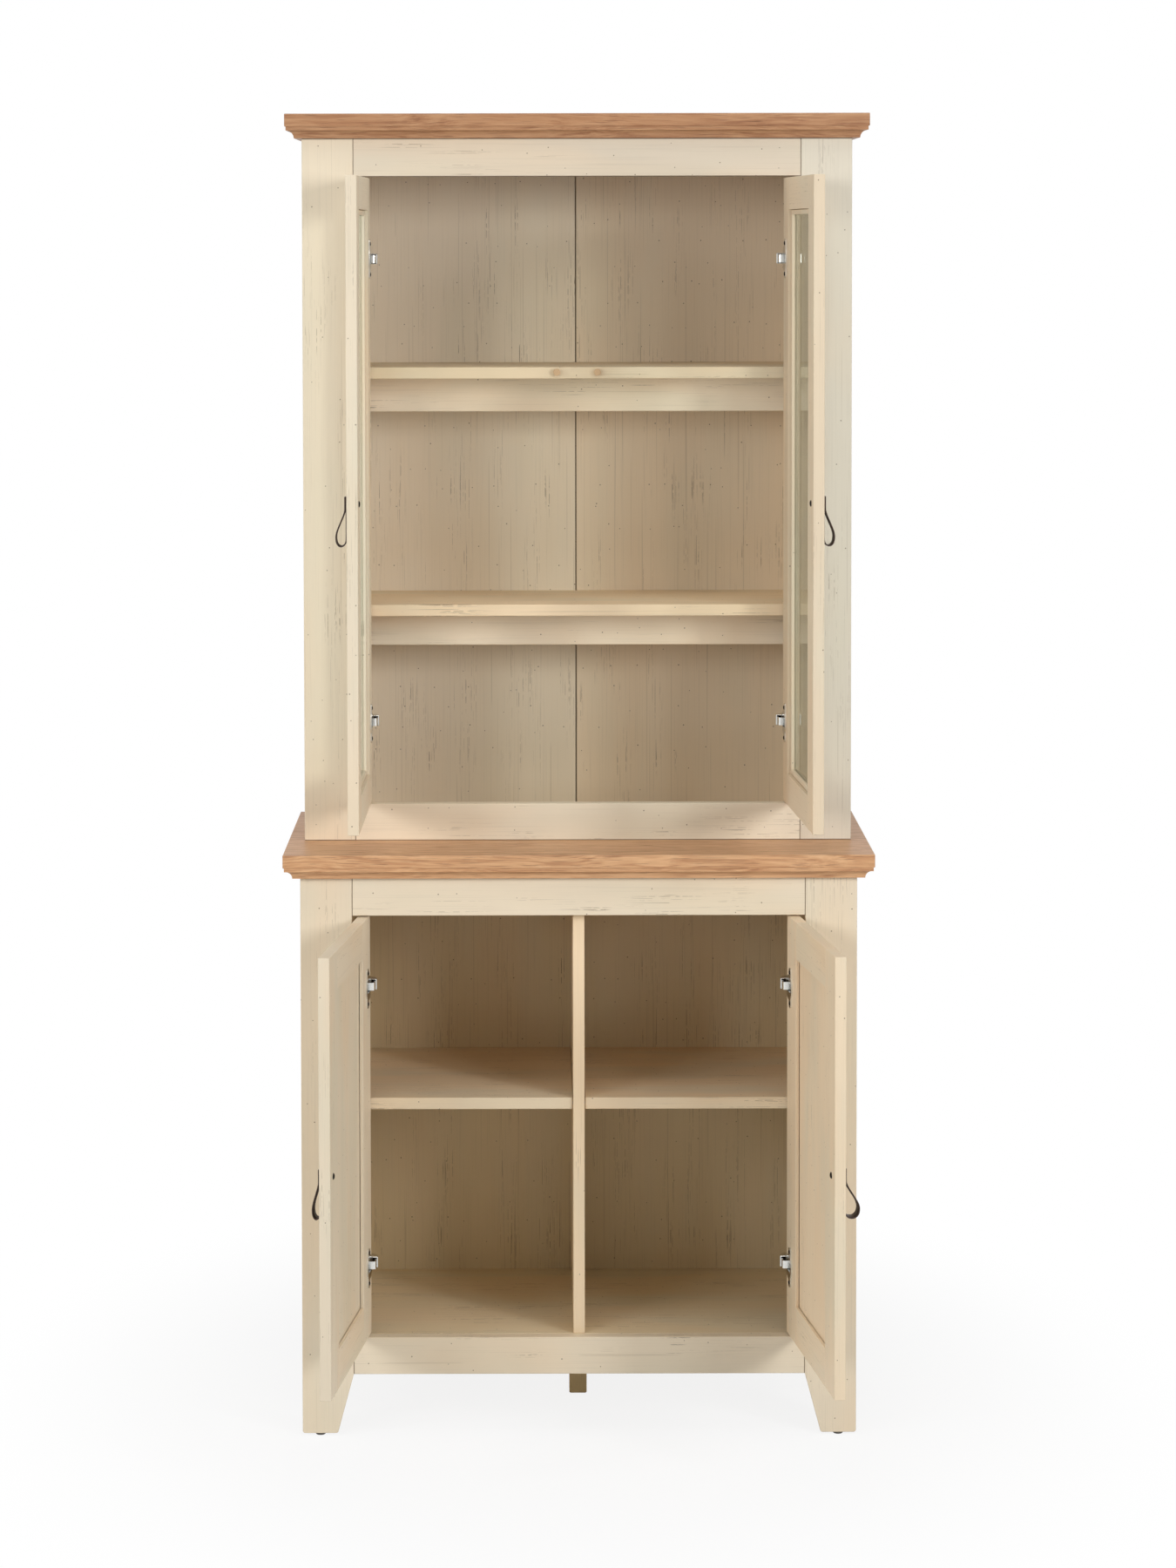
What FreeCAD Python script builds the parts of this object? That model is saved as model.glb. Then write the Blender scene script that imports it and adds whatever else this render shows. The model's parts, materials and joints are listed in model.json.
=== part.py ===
import FreeCAD, Part
import math
import os
from FreeCAD import Vector

# Display cabinet: a two-door buffet base with a glazed two-door hutch standing on its top.
# Millimetres. X runs to the viewer's right, Y into the cabinet and Z up. The origin is on the
# floor under the middle of the centre leg. The doors stand open, as the cabinet is shown.

os.makedirs("parts", exist_ok=True)

# Widths and thicknesses of the two carcasses
cabinet_width = 863.0
stile_width = 80.0
frame_thickness = 20.0
side_thickness = 16.0
shelf_thickness = 18.0
back_thickness = 5.0
batten_thickness = 11.0
batten_width = 40.0
back_seam = 0.6
arris = 0.7

# Depths
cabinet_depth = 400.0
hutch_setback = 120.0
shelf_setback = 25.0
divider_thickness = 18.0

# Heights, from the floor up
glide_height = 4.0
foot_height = 93.0
sill_rail = 58.0
base_opening = 662.0
hutch_opening = 989.0
head_rail = 60.0

# Tops and their mouldings
overhang = 25.5
rear_overhang = 15.0
slab_thickness = 20.0
fillet_height = 6.0
fillet_inset = 2.0
cove_radius = 12.0

# Feet, glides and the centre leg
foot_width = 55.0
foot_corner = 4.0
glide_radius = 7.5
nail_radius = 1.5
nail_length = 14.0
leg_size = 28.0
leg_setback = 210.0
leg_chamfer = 2.0

# Shelves
base_shelf_height = 353.0
hutch_lower_shelf_height = 295.0
hutch_top_bay = 300.0
shelf_side_gap = 1.0
shelf_rail_height = 56.0
shelf_rail_thickness = 17.0
shelf_rail_setback = 120.0
pin_radius = 2.5
pin_depth = 8.0
pin_pad_length = 7.0
pin_pad_width = 6.0
pin_pad_height = 3.0
pin_inset = 50.0
buffer_radius = 5.3
buffer_stem_radius = 4.0
buffer_stem_length = 10.0
buffer_spread = 32.0
buffer_drop = 8.0
buffer_gap = 0.5

# Doors
door_thickness = 17.0
door_stile = 68.0
door_rail = 58.0
door_side_gap = 2.0
door_end_gap = 2.5
door_meeting_gap = 3.0
panel_thickness = 5.0
panel_setback = 6.0
panel_slack = 1.2
groove_depth = 8.0
groove_fit = 0.2
rabbet_width = 8.0
glass_lip = 4.5
glass_thickness = 3.0
glass_fit = 1.0
bead_thickness = 5.0
bead_fit = 0.9

# Concealed hinges
pivot_inset = 15.0
pivot_depth = 6.5
base_hinge_inset = 112.0
hutch_hinge_inset = 129.0
cup_radius = 17.4
cup_inset = 22.0
cup_rim = 2.0
flange_thickness = 2.0
ear_offset = 6.0
ear_width = 13.0
ear_length = 62.0
ear_screw_spread = 24.0
pocket_floor = 0.8
pocket_reach = 14.4
pocket_height = 14.0
hinge_pin_radius = 1.2
knuckle_radius = 2.4
knuckle_clearance = 0.3
running_gap = 0.05
link_thickness = 2.0
link_height = 12.0
link_bend = 3.5
link_reach = 34.4
link_overlap = 2.0
arm_thickness = 9.0
arm_height = 17.0
arm_sheet = 1.4
arm_mouth = 7.0
arm_setback = 24.0
arm_reach = 32.5
arm_nose = 12.0
arm_crank = 16.0
arm_length = 66.0
arm_bend = 9.0
plate_thickness = 2.5
plate_length = 38.0
plate_height = 46.0
plate_start = 46.0
plate_screw_spread = 16.0
block_depth = 72.0
block_height = 80.0

# Leather strap handles
strap_thickness = 1.8
strap_width = 20.0
strap_height = 74.0
strap_gap = 0.3
strap_ply_gap = 0.2
handle_inset = 24.0
handle_screw_drop = 11.0
base_handle_height = 342.5
hutch_handle_height = 507.5
knee_share = 0.28
shoulder_share = 0.78
knee_bend_share = 0.25
shoulder_bend_share = 0.9
strap_depths = {"hutch_left": 17.6, "hutch_right": 18.0, "base_left": 13.5, "base_right": 24.4}

# Screws
screw_fit = 0.1
wood_screw_radius = 1.75
wood_screw_length = 11.0
wood_screw_head = 3.4
wood_screw_head_height = 1.3
handle_screw_radius = 2.0
handle_screw_head = 5.0
handle_screw_head_height = 2.2
bolt_radius = 3.0
bolt_head = 6.0
bolt_head_height = 3.0
bolt_bite = 14.0
bolt_side_inset = 130.0
bolt_end_inset = 60.0

# How far each door stands open, degrees
door_angles = {"hutch_left": 90.6, "hutch_right": 93.6, "base_left": 97.2, "base_right": 97.8}

# One overrun for every cut that passes a face, and how near counts as the same place
overrun = 1.0
same_place = 0.001
quarter_turn = 90.0

half_width = cabinet_width / 2
half_opening = half_width - stile_width
half_inside = half_width - side_thickness
build_up = fillet_height + cove_radius
base_front = -(leg_setback + leg_size / 2)
cup_depth = door_thickness - pivot_depth + knuckle_radius + knuckle_clearance + pocket_floor
rear = base_front + cabinet_depth
back_face = rear - batten_thickness - back_thickness
x_axis = Vector(1, 0, 0)
y_axis = Vector(0, 1, 0)
z_axis = Vector(0, 0, 1)
origin = Vector(0, 0, 0)
sides = {"left": -1, "right": 1}


class Carcass:
    """Planes and levels of one cabinet box, and where its doors' fittings sit."""

    def __init__(self, name, front, sill, opening, hinge_inset, handle_height):
        self.name = name
        self.front = front
        self.inside = front + frame_thickness
        self.sill = sill
        self.opening_bottom = sill + sill_rail
        self.opening_top = self.opening_bottom + opening
        self.head = self.opening_top + head_rail
        self.slab_bottom = self.head + build_up
        self.top = self.slab_bottom + slab_thickness
        self.hinge_levels = (self.opening_bottom + hinge_inset, self.opening_top - hinge_inset)
        self.strap_top = self.opening_bottom + handle_height


base = Carcass("base", base_front, glide_height + foot_height, base_opening,
               base_hinge_inset, base_handle_height)
hutch = Carcass("hutch", base_front + hutch_setback, base.top, hutch_opening,
                hutch_hinge_inset, hutch_handle_height)
base_shelf_top = base.opening_bottom + base_shelf_height + shelf_thickness
hutch_shelf_tops = (hutch.opening_bottom + hutch_lower_shelf_height + shelf_thickness,
                    hutch.opening_top - hutch_top_bay)


def save(name, *solids):
    Part.makeCompound(list(solids)).exportStep("parts/" + name + ".step")


def block(x0, x1, y0, y1, z0, z1):
    return Part.makeBox(x1 - x0, y1 - y0, z1 - z0, Vector(x0, y0, z0))


def board(x0, x1, y0, y1, z0, z1):
    """A board with its arrises taken off."""
    box = block(x0, x1, y0, y1, z0, z1)
    return box.makeChamfer(arris, box.Edges)


def mirrored(solid):
    return solid.mirror(origin, x_axis)


def on_side(side, solid):
    """A solid made for the right-hand side, or its mirror image for the left."""
    return solid if side > 0 else mirrored(solid)


def edges_at(solid, axis, place):
    """Edges that lie in the plane at one place along X, Y or Z."""
    found = []
    for edge in solid.Edges:
        ends = [vertex.Point[axis] for vertex in edge.Vertexes]
        if all(abs(end - place) < same_place for end in ends):
            found.append(edge)
    return found


def edges_along(edges, axis):
    """Those of the edges that start out along X, Y or Z."""
    return [edge for edge in edges
            if abs(edge.tangentAt(edge.FirstParameter)[axis]) > 1 - same_place]


def drilled(solid, holes):
    for hole in holes:
        solid = solid.cut(hole)
    return solid


def polygon(points):
    return Part.Face(Part.makePolygon(points + points[:1]))


def rod(radius, start, direction, length):
    return Part.makeCylinder(radius, length, start, direction)


def screw(shank, length, head, head_height, seat, out):
    """A screw whose head stands on the seat, with the shank running in behind it."""
    stem = rod(shank, seat, -out, length)
    cap = rod(head, seat, out, head_height)
    crown = seat + out * head_height
    rim = [edge for edge in cap.Edges if len(edge.Vertexes) == 1
           and abs((edge.Vertexes[0].Point - crown).dot(out)) < same_place]
    rounded = cap.makeFillet(head_height / 2, rim)
    return stem.fuse(rounded).removeSplitter()


def across(vector):
    return Vector(-vector.y, vector.x, 0)


def strip_side(points, radii, offset):
    """Edges of one side of a strip that follows straight runs joined by bends."""
    first = (points[1] - points[0]).normalize()
    last = points[0] + across(first) * offset
    edges = []
    for place, radius in enumerate(radii, start=1):
        into = (points[place] - points[place - 1]).normalize()
        out = (points[place + 1] - points[place]).normalize()
        turn = math.atan2(into.cross(out).z, into.dot(out))
        hand = math.copysign(1, turn)
        tangent = radius * math.tan(abs(turn) / 2)
        centre = points[place] - into * tangent + across(into) * radius * hand
        begin = points[place] - into * tangent + across(into) * offset
        end = points[place] + out * tangent + across(out) * offset
        middle = centre + (points[place] - centre).normalize() * (radius - offset * hand)
        edges.append(Part.LineSegment(last, begin).toShape())
        edges.append(Part.Arc(begin, middle, end).toShape())
        last = end
    final = (points[-1] - points[-2]).normalize()
    edges.append(Part.LineSegment(last, points[-1] + across(final) * offset).toShape())
    return edges


def strip(points, radii, thickness, height):
    """A bent strip of even thickness, drawn flat and raised along Z."""
    near = strip_side(points, radii, thickness / 2)
    far = strip_side(points, radii, -thickness / 2)
    start = Part.LineSegment(near[0].Vertexes[0].Point, far[0].Vertexes[0].Point).toShape()
    end = Part.LineSegment(near[-1].Vertexes[-1].Point, far[-1].Vertexes[-1].Point).toShape()
    outline = Part.Wire(Part.__sortEdges__(near + far + [start, end]))
    return Part.Face(outline).extrude(z_axis * height)


# Tops and mouldings

def slab(carcass):
    half = half_width + overhang
    return board(-half, half, carcass.front - overhang, rear + rear_overhang,
                 carcass.slab_bottom, carcass.top)


def moulding_outline(inner, outer, bottom):
    """Section of the moulding in X and Z: a square fillet over a hollow cove."""
    top = bottom + build_up
    fillet_bottom = bottom + cove_radius
    foot = outer - cove_radius
    hollow = cove_radius * math.sqrt(2) / 2
    lines = [
        Part.LineSegment(Vector(foot, 0, bottom), Vector(inner, 0, bottom)),
        Part.LineSegment(Vector(inner, 0, bottom), Vector(inner, 0, top)),
        Part.LineSegment(Vector(inner, 0, top), Vector(outer, 0, top)),
        Part.LineSegment(Vector(outer, 0, top), Vector(outer, 0, fillet_bottom)),
        Part.Arc(Vector(outer, 0, fillet_bottom), Vector(outer - hollow, 0, bottom + hollow),
                 Vector(foot, 0, bottom)),
    ]
    return Part.Face(Part.Wire([line.toShape() for line in lines]))


def moulding(carcass):
    """Front length and two returns, mitred at the front corners."""
    outer = half_width + overhang - fillet_inset
    front = carcass.front - overhang + fillet_inset
    end = rear + rear_overhang - fillet_inset
    section = moulding_outline(half_inside, outer, carcass.head)
    run = section.extrude(y_axis * (end - front))
    run.translate(y_axis * front)
    width = outer - half_inside
    mitre = polygon([Vector(outer, front, 0), Vector(outer, end, 0),
                     Vector(outer - width, end, 0), Vector(outer - width, front + width, 0)])
    mitre = mitre.extrude(z_axis * carcass.top)
    right = run.common(mitre)
    length = section.extrude(y_axis * (2 * outer))
    length.translate(-y_axis * outer)
    length.rotate(origin, z_axis, -quarter_turn)
    length.translate(y_axis * (front + outer))
    cut = polygon([Vector(-outer, front, 0), Vector(outer, front, 0),
                   Vector(outer - width, front + width, 0), Vector(width - outer, front + width, 0)])
    front_run = length.common(cut.extrude(z_axis * carcass.top))
    return [front_run, right, mirrored(right)]


# Face frames, sides and backs

def base_stile():
    """Front post of the base, whose foot narrows below the bottom rail."""
    inner = half_opening
    corner = half_width - foot_width
    points = [Vector(inner, base.front, base.head), Vector(half_width, base.front, base.head),
              Vector(half_width, base.front, glide_height), Vector(corner, base.front, glide_height),
              Vector(inner, base.front, base.sill)]
    post = polygon(points).extrude(y_axis * frame_thickness)
    post = post.makeFillet(foot_corner, edges_along(edges_at(post, 2, glide_height), 1))
    faces = edges_at(post, 1, base.front) + edges_at(post, 1, base.inside)
    return post.makeChamfer(arris, faces)


def base_side():
    """Side panel of the base, cut up between its front and rear feet."""
    low = glide_height
    gap_front = base.front + stile_width
    gap_rear = rear - stile_width
    outline = [Vector(half_inside, base.inside, base.head), Vector(half_inside, rear, base.head),
               Vector(half_inside, rear, low), Vector(half_inside, rear - foot_width, low),
               Vector(half_inside, gap_rear, base.sill), Vector(half_inside, gap_front, base.sill),
               Vector(half_inside, base.front + foot_width, low), Vector(half_inside, base.inside, low)]
    panel = polygon(outline).extrude(x_axis * side_thickness)
    panel = panel.makeChamfer(arris, edges_at(panel, 0, half_width))
    return drilled(panel, shelf_pin_holes(half_inside, base_shelf_top - shelf_thickness, 1))


def rails(carcass):
    sill = board(-half_opening, half_opening, carcass.front, carcass.inside,
                 carcass.sill, carcass.opening_bottom)
    head = board(-half_opening, half_opening, carcass.front, carcass.inside,
                 carcass.opening_top, carcass.head)
    return sill, head


def back_panels(carcass, bottom):
    right = block(back_seam / 2, half_inside, back_face, back_face + back_thickness,
                  bottom, carcass.slab_bottom)
    right = right.makeChamfer(back_seam, edges_at(right, 1, back_face))
    return [mirrored(right), right]


def battens(carcass):
    """Top, bottom and seam battens behind the back panels."""
    front = back_face + back_thickness
    middle = batten_width / 2
    return [board(-half_inside, half_inside, front, rear, carcass.sill, carcass.opening_bottom),
            board(-half_inside, half_inside, front, rear, carcass.opening_top, carcass.slab_bottom),
            board(-middle, middle, front, rear, carcass.opening_bottom, carcass.opening_top)]


# Shelves, their pins and the fixing between the two carcasses

def pin_places():
    return (base.front + shelf_setback + pin_inset, back_face - pin_inset)


def shelf_pin_holes(wall, level, out):
    """Holes for shelf pins that run from a wall in the given X direction."""
    middle = level - pin_pad_height / 2
    return [rod(pin_radius + screw_fit, Vector(wall - out * overrun, place, middle), x_axis * out,
                pin_depth + overrun) for place in pin_places()]


def shelf_pins(wall, level, out):
    """Pegs in the wall's holes, each with a flat pad under the shelf."""
    pins = []
    for place in pin_places():
        peg = rod(pin_radius, Vector(wall, place, level - pin_pad_height / 2), x_axis * out,
                  pin_depth - screw_fit)
        ends = sorted((wall, wall - out * pin_pad_length))
        pad = block(ends[0], ends[1], place - pin_pad_width / 2, place + pin_pad_width / 2,
                    level - pin_pad_height, level)
        pins.append(peg.fuse(pad).removeSplitter())
    return pins


def base_shelf():
    return board(divider_thickness / 2 + shelf_side_gap, half_inside - shelf_side_gap,
                 base.front + shelf_setback, back_face, base_shelf_top - shelf_thickness, base_shelf_top)


def divider():
    half = divider_thickness / 2
    upright = board(-half, half, base.inside, back_face, base.opening_bottom, base.slab_bottom)
    for out in (1, -1):
        upright = drilled(upright, shelf_pin_holes(-out * half, base_shelf_top - shelf_thickness, out))
    return upright


def hutch_shelf(top):
    return board(-half_inside, half_inside, hutch.front + shelf_setback, back_face,
                 top - shelf_thickness, top)


def shelf_rail(top):
    front = hutch.front + shelf_rail_setback
    bottom = top - shelf_thickness - shelf_rail_height
    return board(-half_inside, half_inside, front, front + shelf_rail_thickness,
                 bottom, top - shelf_thickness)


def buffers():
    """Two round buffers in the upper shelf's front edge, which the glazed doors close on."""
    seat = hutch.front + shelf_setback
    length = shelf_setback - door_thickness - buffer_gap
    level = hutch_shelf_tops[1] - buffer_drop
    pieces = []
    for side in sides.values():
        place = Vector(side * buffer_spread, seat, level)
        head = rod(buffer_radius, place, -y_axis, length)
        head = head.makeFillet(arris, edges_at(head, 1, seat - length))
        stem = rod(buffer_stem_radius, place, y_axis, buffer_stem_length)
        pieces.append(head.fuse(stem).removeSplitter())
    return pieces


def buffer_holes():
    seat = hutch.front + shelf_setback
    level = hutch_shelf_tops[1] - buffer_drop
    return [rod(buffer_stem_radius + screw_fit, Vector(side * buffer_spread, seat - overrun, level), y_axis,
                buffer_stem_length + overrun + screw_fit) for side in sides.values()]


def bolt_places():
    seat = hutch.sill + shelf_thickness
    return [Vector(side * (half_inside - bolt_side_inset), place, seat) for side in sides.values()
            for place in (hutch.inside + bolt_end_inset, back_face - bolt_end_inset)]


def bolt_holes():
    depth = shelf_thickness + bolt_bite + screw_fit
    return [rod(bolt_radius + screw_fit, place + z_axis * overrun, -z_axis, depth + overrun)
            for place in bolt_places()]


# Feet and the centre leg

def glide_places():
    return [Vector(half_width - foot_width / 2, base.front + frame_thickness / 2, 0),
            Vector(half_width - side_thickness / 2, rear - foot_width / 2, 0)]


def glide(place):
    disc = rod(glide_radius, place, z_axis, glide_height)
    disc = disc.makeChamfer(arris, edges_at(disc, 2, 0))
    nail = rod(nail_radius, place + z_axis * glide_height, z_axis, nail_length)
    return disc.fuse(nail).removeSplitter()


def nail_hole(place):
    return rod(nail_radius + screw_fit, place, z_axis, glide_height + nail_length + screw_fit)


def centre_leg():
    half = leg_size / 2
    leg = block(-half, half, -half, half, 0, base.opening_bottom - shelf_thickness)
    leg = leg.makeChamfer(leg_chamfer, edges_at(leg, 2, 0))
    return leg.makeChamfer(arris, edges_along(leg.Edges, 2))


# Hinge hardware on the carcass

def hinge_block(carcass, level):
    half = block_height / 2
    packing = board(half_opening, half_inside, carcass.inside, carcass.inside + block_depth,
                    level - half, level + half)
    holes = [rod(wood_screw_radius + screw_fit, seat - x_axis * overrun, x_axis,
                 wood_screw_length + overrun + screw_fit) for seat in plate_screw_seats(carcass, level)]
    return drilled(packing, holes)


def plate_screw_seats(carcass, level):
    """Where the two screws of a mounting plate stand on it."""
    seat = half_opening - plate_thickness
    middle = carcass.front + plate_start + plate_length / 2
    return [Vector(seat, middle, level + hand * plate_screw_spread) for hand in (-1, 1)]


def mounting_plate(carcass, level):
    front = carcass.front + plate_start
    half = plate_height / 2
    plate = block(half_opening - plate_thickness, half_opening, front, front + plate_length,
                  level - half, level + half)
    holes = [rod(wood_screw_radius + screw_fit, seat - x_axis * overrun, x_axis,
                 plate_thickness + 2 * overrun) for seat in plate_screw_seats(carcass, level)]
    return drilled(plate, holes)


def hinge_link(carcass, end):
    """Bent link that enters the hinge cup and turns about its pin."""
    pin = Vector(half_opening - pivot_inset, carcass.front + pivot_depth, 0)
    reach = half_opening - link_reach
    path = [pin, Vector(reach, pin.y, 0), Vector(reach, end, 0)]
    link = strip(path, (link_bend,), link_thickness, link_height)
    link = link.fuse(rod(knuckle_radius, pin, z_axis, link_height))
    return link.cut(rod(hinge_pin_radius + running_gap, pin, z_axis, link_height))


def hinge_arm(carcass, level):
    """Cranked arm from the mounting plate to the door's edge, with the link in its hollow nose."""
    nose = half_opening - arm_reach
    heel = half_opening - plate_thickness - arm_thickness / 2
    front = carcass.front + arm_setback
    path = [Vector(nose, front, 0), Vector(nose, front + arm_nose, 0),
            Vector(heel, front + arm_nose + arm_crank, 0), Vector(heel, front + arm_length, 0)]
    arm = strip(path, (arm_bend, arm_bend), arm_thickness, arm_height)
    arm = arm.makeChamfer(arris, edges_at(arm, 2, 0) + edges_at(arm, 2, arm_height))
    arm = arm.cut(block(nose - arm_thickness / 2 + arm_sheet, nose + arm_thickness / 2 + overrun,
                        front - overrun, front + arm_mouth, arm_sheet, arm_height - arm_sheet))
    link = hinge_link(carcass, front + arm_mouth + link_overlap)
    link.translate(z_axis * (arm_height - link_height) / 2)
    arm = arm.fuse(link).removeSplitter()
    arm.translate(z_axis * (level - arm_height / 2))
    return arm


def plate_screws(carcass, level):
    return [screw(wood_screw_radius, wood_screw_length, wood_screw_head, wood_screw_head_height,
                  seat, -x_axis) for seat in plate_screw_seats(carcass, level)]


# Doors, each made closed on the right-hand side

class Door:
    """One door's outline when it is closed, drawn on the right."""

    def __init__(self, carcass, side_name):
        self.carcass = carcass
        self.name = carcass.name + "_" + side_name
        self.side = sides[side_name]
        self.free = door_meeting_gap / 2
        self.hinge = half_opening - door_side_gap
        self.outer = carcass.front
        self.inner = carcass.front + door_thickness
        self.bottom = carcass.opening_bottom + door_end_gap
        self.top = carcass.opening_top - door_end_gap

    def placed(self, solid):
        """Swung open about the hinge axis, on the door's own side."""
        turned = on_side(self.side, solid)
        pivot = Vector(self.side * (half_opening - pivot_inset), self.outer + pivot_depth, 0)
        turned.rotate(pivot, z_axis, self.side * door_angles[self.name])
        return turned

    def save(self, piece, *solids):
        save(self.name + "_door_" + piece, *[self.placed(solid) for solid in solids])

    def pocket(self, margin, front, back):
        """The space inside the frame, widened on all four sides by a margin."""
        return block(self.free + door_stile - margin, self.hinge - door_stile + margin, front, back,
                     self.bottom + door_rail - margin, self.top - door_rail + margin)

    def strap_place(self):
        """Middle of the strap's top end, on the door's outer face."""
        return Vector(self.free + handle_inset, self.outer, self.carcass.strap_top)


def door_frame(door, pocket):
    stiles = [board(edge, edge + door_stile, door.outer, door.inner, door.bottom, door.top).cut(pocket)
              for edge in (door.free, door.hinge - door_stile)]
    rail_pair = [board(door.free + door_stile, door.hinge - door_stile, door.outer, door.inner,
                       low, low + door_rail).cut(pocket) for low in (door.bottom, door.top - door_rail)]
    stiles[0] = stiles[0].cut(handle_screw_hole(door))
    for level in door.carcass.hinge_levels:
        stiles[1] = drilled(stiles[1], hinge_holes(door, level))
    return stiles, rail_pair


def door_panel(door):
    """Flat panel held in grooves all round."""
    front = door.outer + panel_setback
    panel = door.pocket(groove_depth - groove_fit, front, front + panel_thickness)
    return panel.makeChamfer(arris, panel.Edges)


def panel_groove(door):
    front = door.outer + panel_setback
    return door.pocket(groove_depth, front - groove_fit, front + panel_thickness + panel_slack)


def glass_rabbet(door):
    return door.pocket(rabbet_width, door.outer + glass_lip, door.inner + overrun)


def glass_pane(door):
    front = door.outer + glass_lip
    return door.pocket(rabbet_width - glass_fit, front, front + glass_thickness)


def glass_beads(door):
    """Four strips that hold the pane from behind: two full-height, two between them."""
    front = door.outer + glass_lip + glass_thickness
    back = front + bead_thickness
    left = door.free + door_stile
    right = door.hinge - door_stile
    low = door.bottom + door_rail
    high = door.top - door_rail
    reach = rabbet_width - bead_fit
    return [board(left - reach, left, front, back, low - reach, high + reach),
            board(right, right + reach, front, back, low - reach, high + reach),
            board(left, right, front, back, low - reach, low),
            board(left, right, front, back, high, high + reach)]


# Hinge cups in the doors

def cup_centre(door, level):
    return Vector(door.hinge - cup_inset, door.inner, level)


def ear_screw_seats(door, level):
    place = cup_centre(door, level) + Vector(-ear_offset, flange_thickness, 0)
    return [place + z_axis * (hand * ear_screw_spread) for hand in (-1, 1)]


def hinge_holes(door, level):
    """The bored seat of a hinge cup and the pilot holes of its two screws."""
    centre = cup_centre(door, level)
    seat = rod(cup_radius + screw_fit, centre + y_axis * overrun, -y_axis, cup_depth + screw_fit + overrun)
    pilots = [rod(wood_screw_radius + screw_fit, place + y_axis * overrun, -y_axis,
                  wood_screw_length + overrun + screw_fit) for place in ear_screw_seats(door, level)]
    return [seat] + pilots


def hinge_cup(door, level):
    """Cup with its eared flange and, across its pocket, the pin that the link turns on."""
    centre = cup_centre(door, level)
    back = door.inner + flange_thickness
    cup = rod(cup_radius, centre, -y_axis, cup_depth)
    rim = rod(cup_radius + cup_rim, centre, y_axis, flange_thickness)
    ear_middle = centre.x - ear_offset
    ears = block(ear_middle - ear_width / 2, ear_middle + ear_width / 2, door.inner, back,
                 level - ear_length / 2, level + ear_length / 2)
    ears = ears.makeFillet(ear_width / 2 - arris, edges_along(ears.Edges, 1))
    for place in ear_screw_seats(door, level):
        ears = ears.cut(rod(wood_screw_radius + screw_fit, place + y_axis * overrun, -y_axis,
                            flange_thickness + 2 * overrun))
    half = pocket_height / 2
    pocket = block(centre.x - pocket_reach, centre.x + pocket_reach,
                   door.inner - cup_depth + pocket_floor, back + overrun, level - half, level + half)
    foot = Vector(half_opening - pivot_inset, door.outer + pivot_depth, level - half - overrun)
    pin = rod(hinge_pin_radius, foot, z_axis, pocket_height + 2 * overrun)
    return cup.fuse(rim).fuse(ears).cut(pocket).fuse(pin).removeSplitter()


def cup_screws(door, level):
    return [screw(wood_screw_radius, wood_screw_length, wood_screw_head, wood_screw_head_height,
                  place, y_axis) for place in ear_screw_seats(door, level)]


# Leather handles and the screws that hold them

def strap(door):
    """A strap folded into a drop-shaped loop, with its two ends stacked against the door."""
    depth = strap_depths[door.name]
    back = strap_gap + strap_thickness / 2
    stacked = back + strap_thickness + strap_ply_gap
    front = depth - strap_thickness / 2
    low = -(strap_height - strap_thickness / 2)
    turn = (front - back) / 2
    knee = Vector(stacked, -strap_height * knee_share, 0)
    shoulder = Vector(front, -strap_height * shoulder_share, 0)
    path = [Vector(stacked, 0, 0), knee, shoulder, Vector(front, low, 0),
            Vector(back, low, 0), Vector(back, 0, 0)]
    slope = math.atan2(front - stacked, knee.y - shoulder.y)
    knee_tangent = (shoulder - knee).Length * knee_bend_share
    shoulder_tangent = (shoulder.y - low - turn) * shoulder_bend_share
    bends = (knee_tangent / math.tan(slope / 2), shoulder_tangent / math.tan(slope / 2),
             turn - same_place, turn - same_place)
    loop = strip(path, bends, strap_thickness, strap_width)
    top = door.strap_place()
    turned = FreeCAD.Rotation(-y_axis, z_axis, -x_axis, "ZXY")
    corner = top + x_axis * (strap_width / 2)
    loop.Placement = FreeCAD.Placement(corner, turned)
    hole = handle_screw_hole(door)
    return loop.cut(hole)


def strap_stack():
    return strap_gap + 2 * strap_thickness + strap_ply_gap


def handle_screw_seat(door):
    return door.strap_place() + Vector(0, door_thickness, -handle_screw_drop)


def handle_screw_hole(door):
    seat = handle_screw_seat(door)
    length = door_thickness + strap_stack() + 2 * overrun
    return rod(handle_screw_radius + screw_fit, seat + y_axis * overrun, -y_axis, length)


def handle_screw(door):
    return screw(handle_screw_radius, door_thickness + strap_stack() - arris, handle_screw_head,
                 handle_screw_head_height, handle_screw_seat(door), y_axis)


# Both carcasses

for cabinet in (base, hutch):
    sill, head = rails(cabinet)
    save(cabinet.name + "_bottom_rail", sill)
    save(cabinet.name + "_top_rail", head)

save("base_top_board", drilled(slab(base), bolt_holes()))
save("base_top_moulding", *moulding(base))
save("hutch_top_board", slab(hutch))
save("hutch_crown_moulding", *moulding(hutch))

hutch_stile = board(half_opening, half_width, hutch.front, hutch.inside, hutch.sill, hutch.head)
hutch_side = board(half_inside, half_width, hutch.inside, rear, hutch.sill, hutch.head)
nail_holes = [nail_hole(place) for place in glide_places()]
for side_name, side in sides.items():
    save("base_stile_" + side_name, on_side(side, drilled(base_stile(), nail_holes)))
    save("base_side_" + side_name, on_side(side, drilled(base_side(), nail_holes)))
    save("base_shelf_" + side_name, on_side(side, base_shelf()))
    save("hutch_stile_" + side_name, on_side(side, hutch_stile))
    save("hutch_side_" + side_name, on_side(side, hutch_side))

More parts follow.
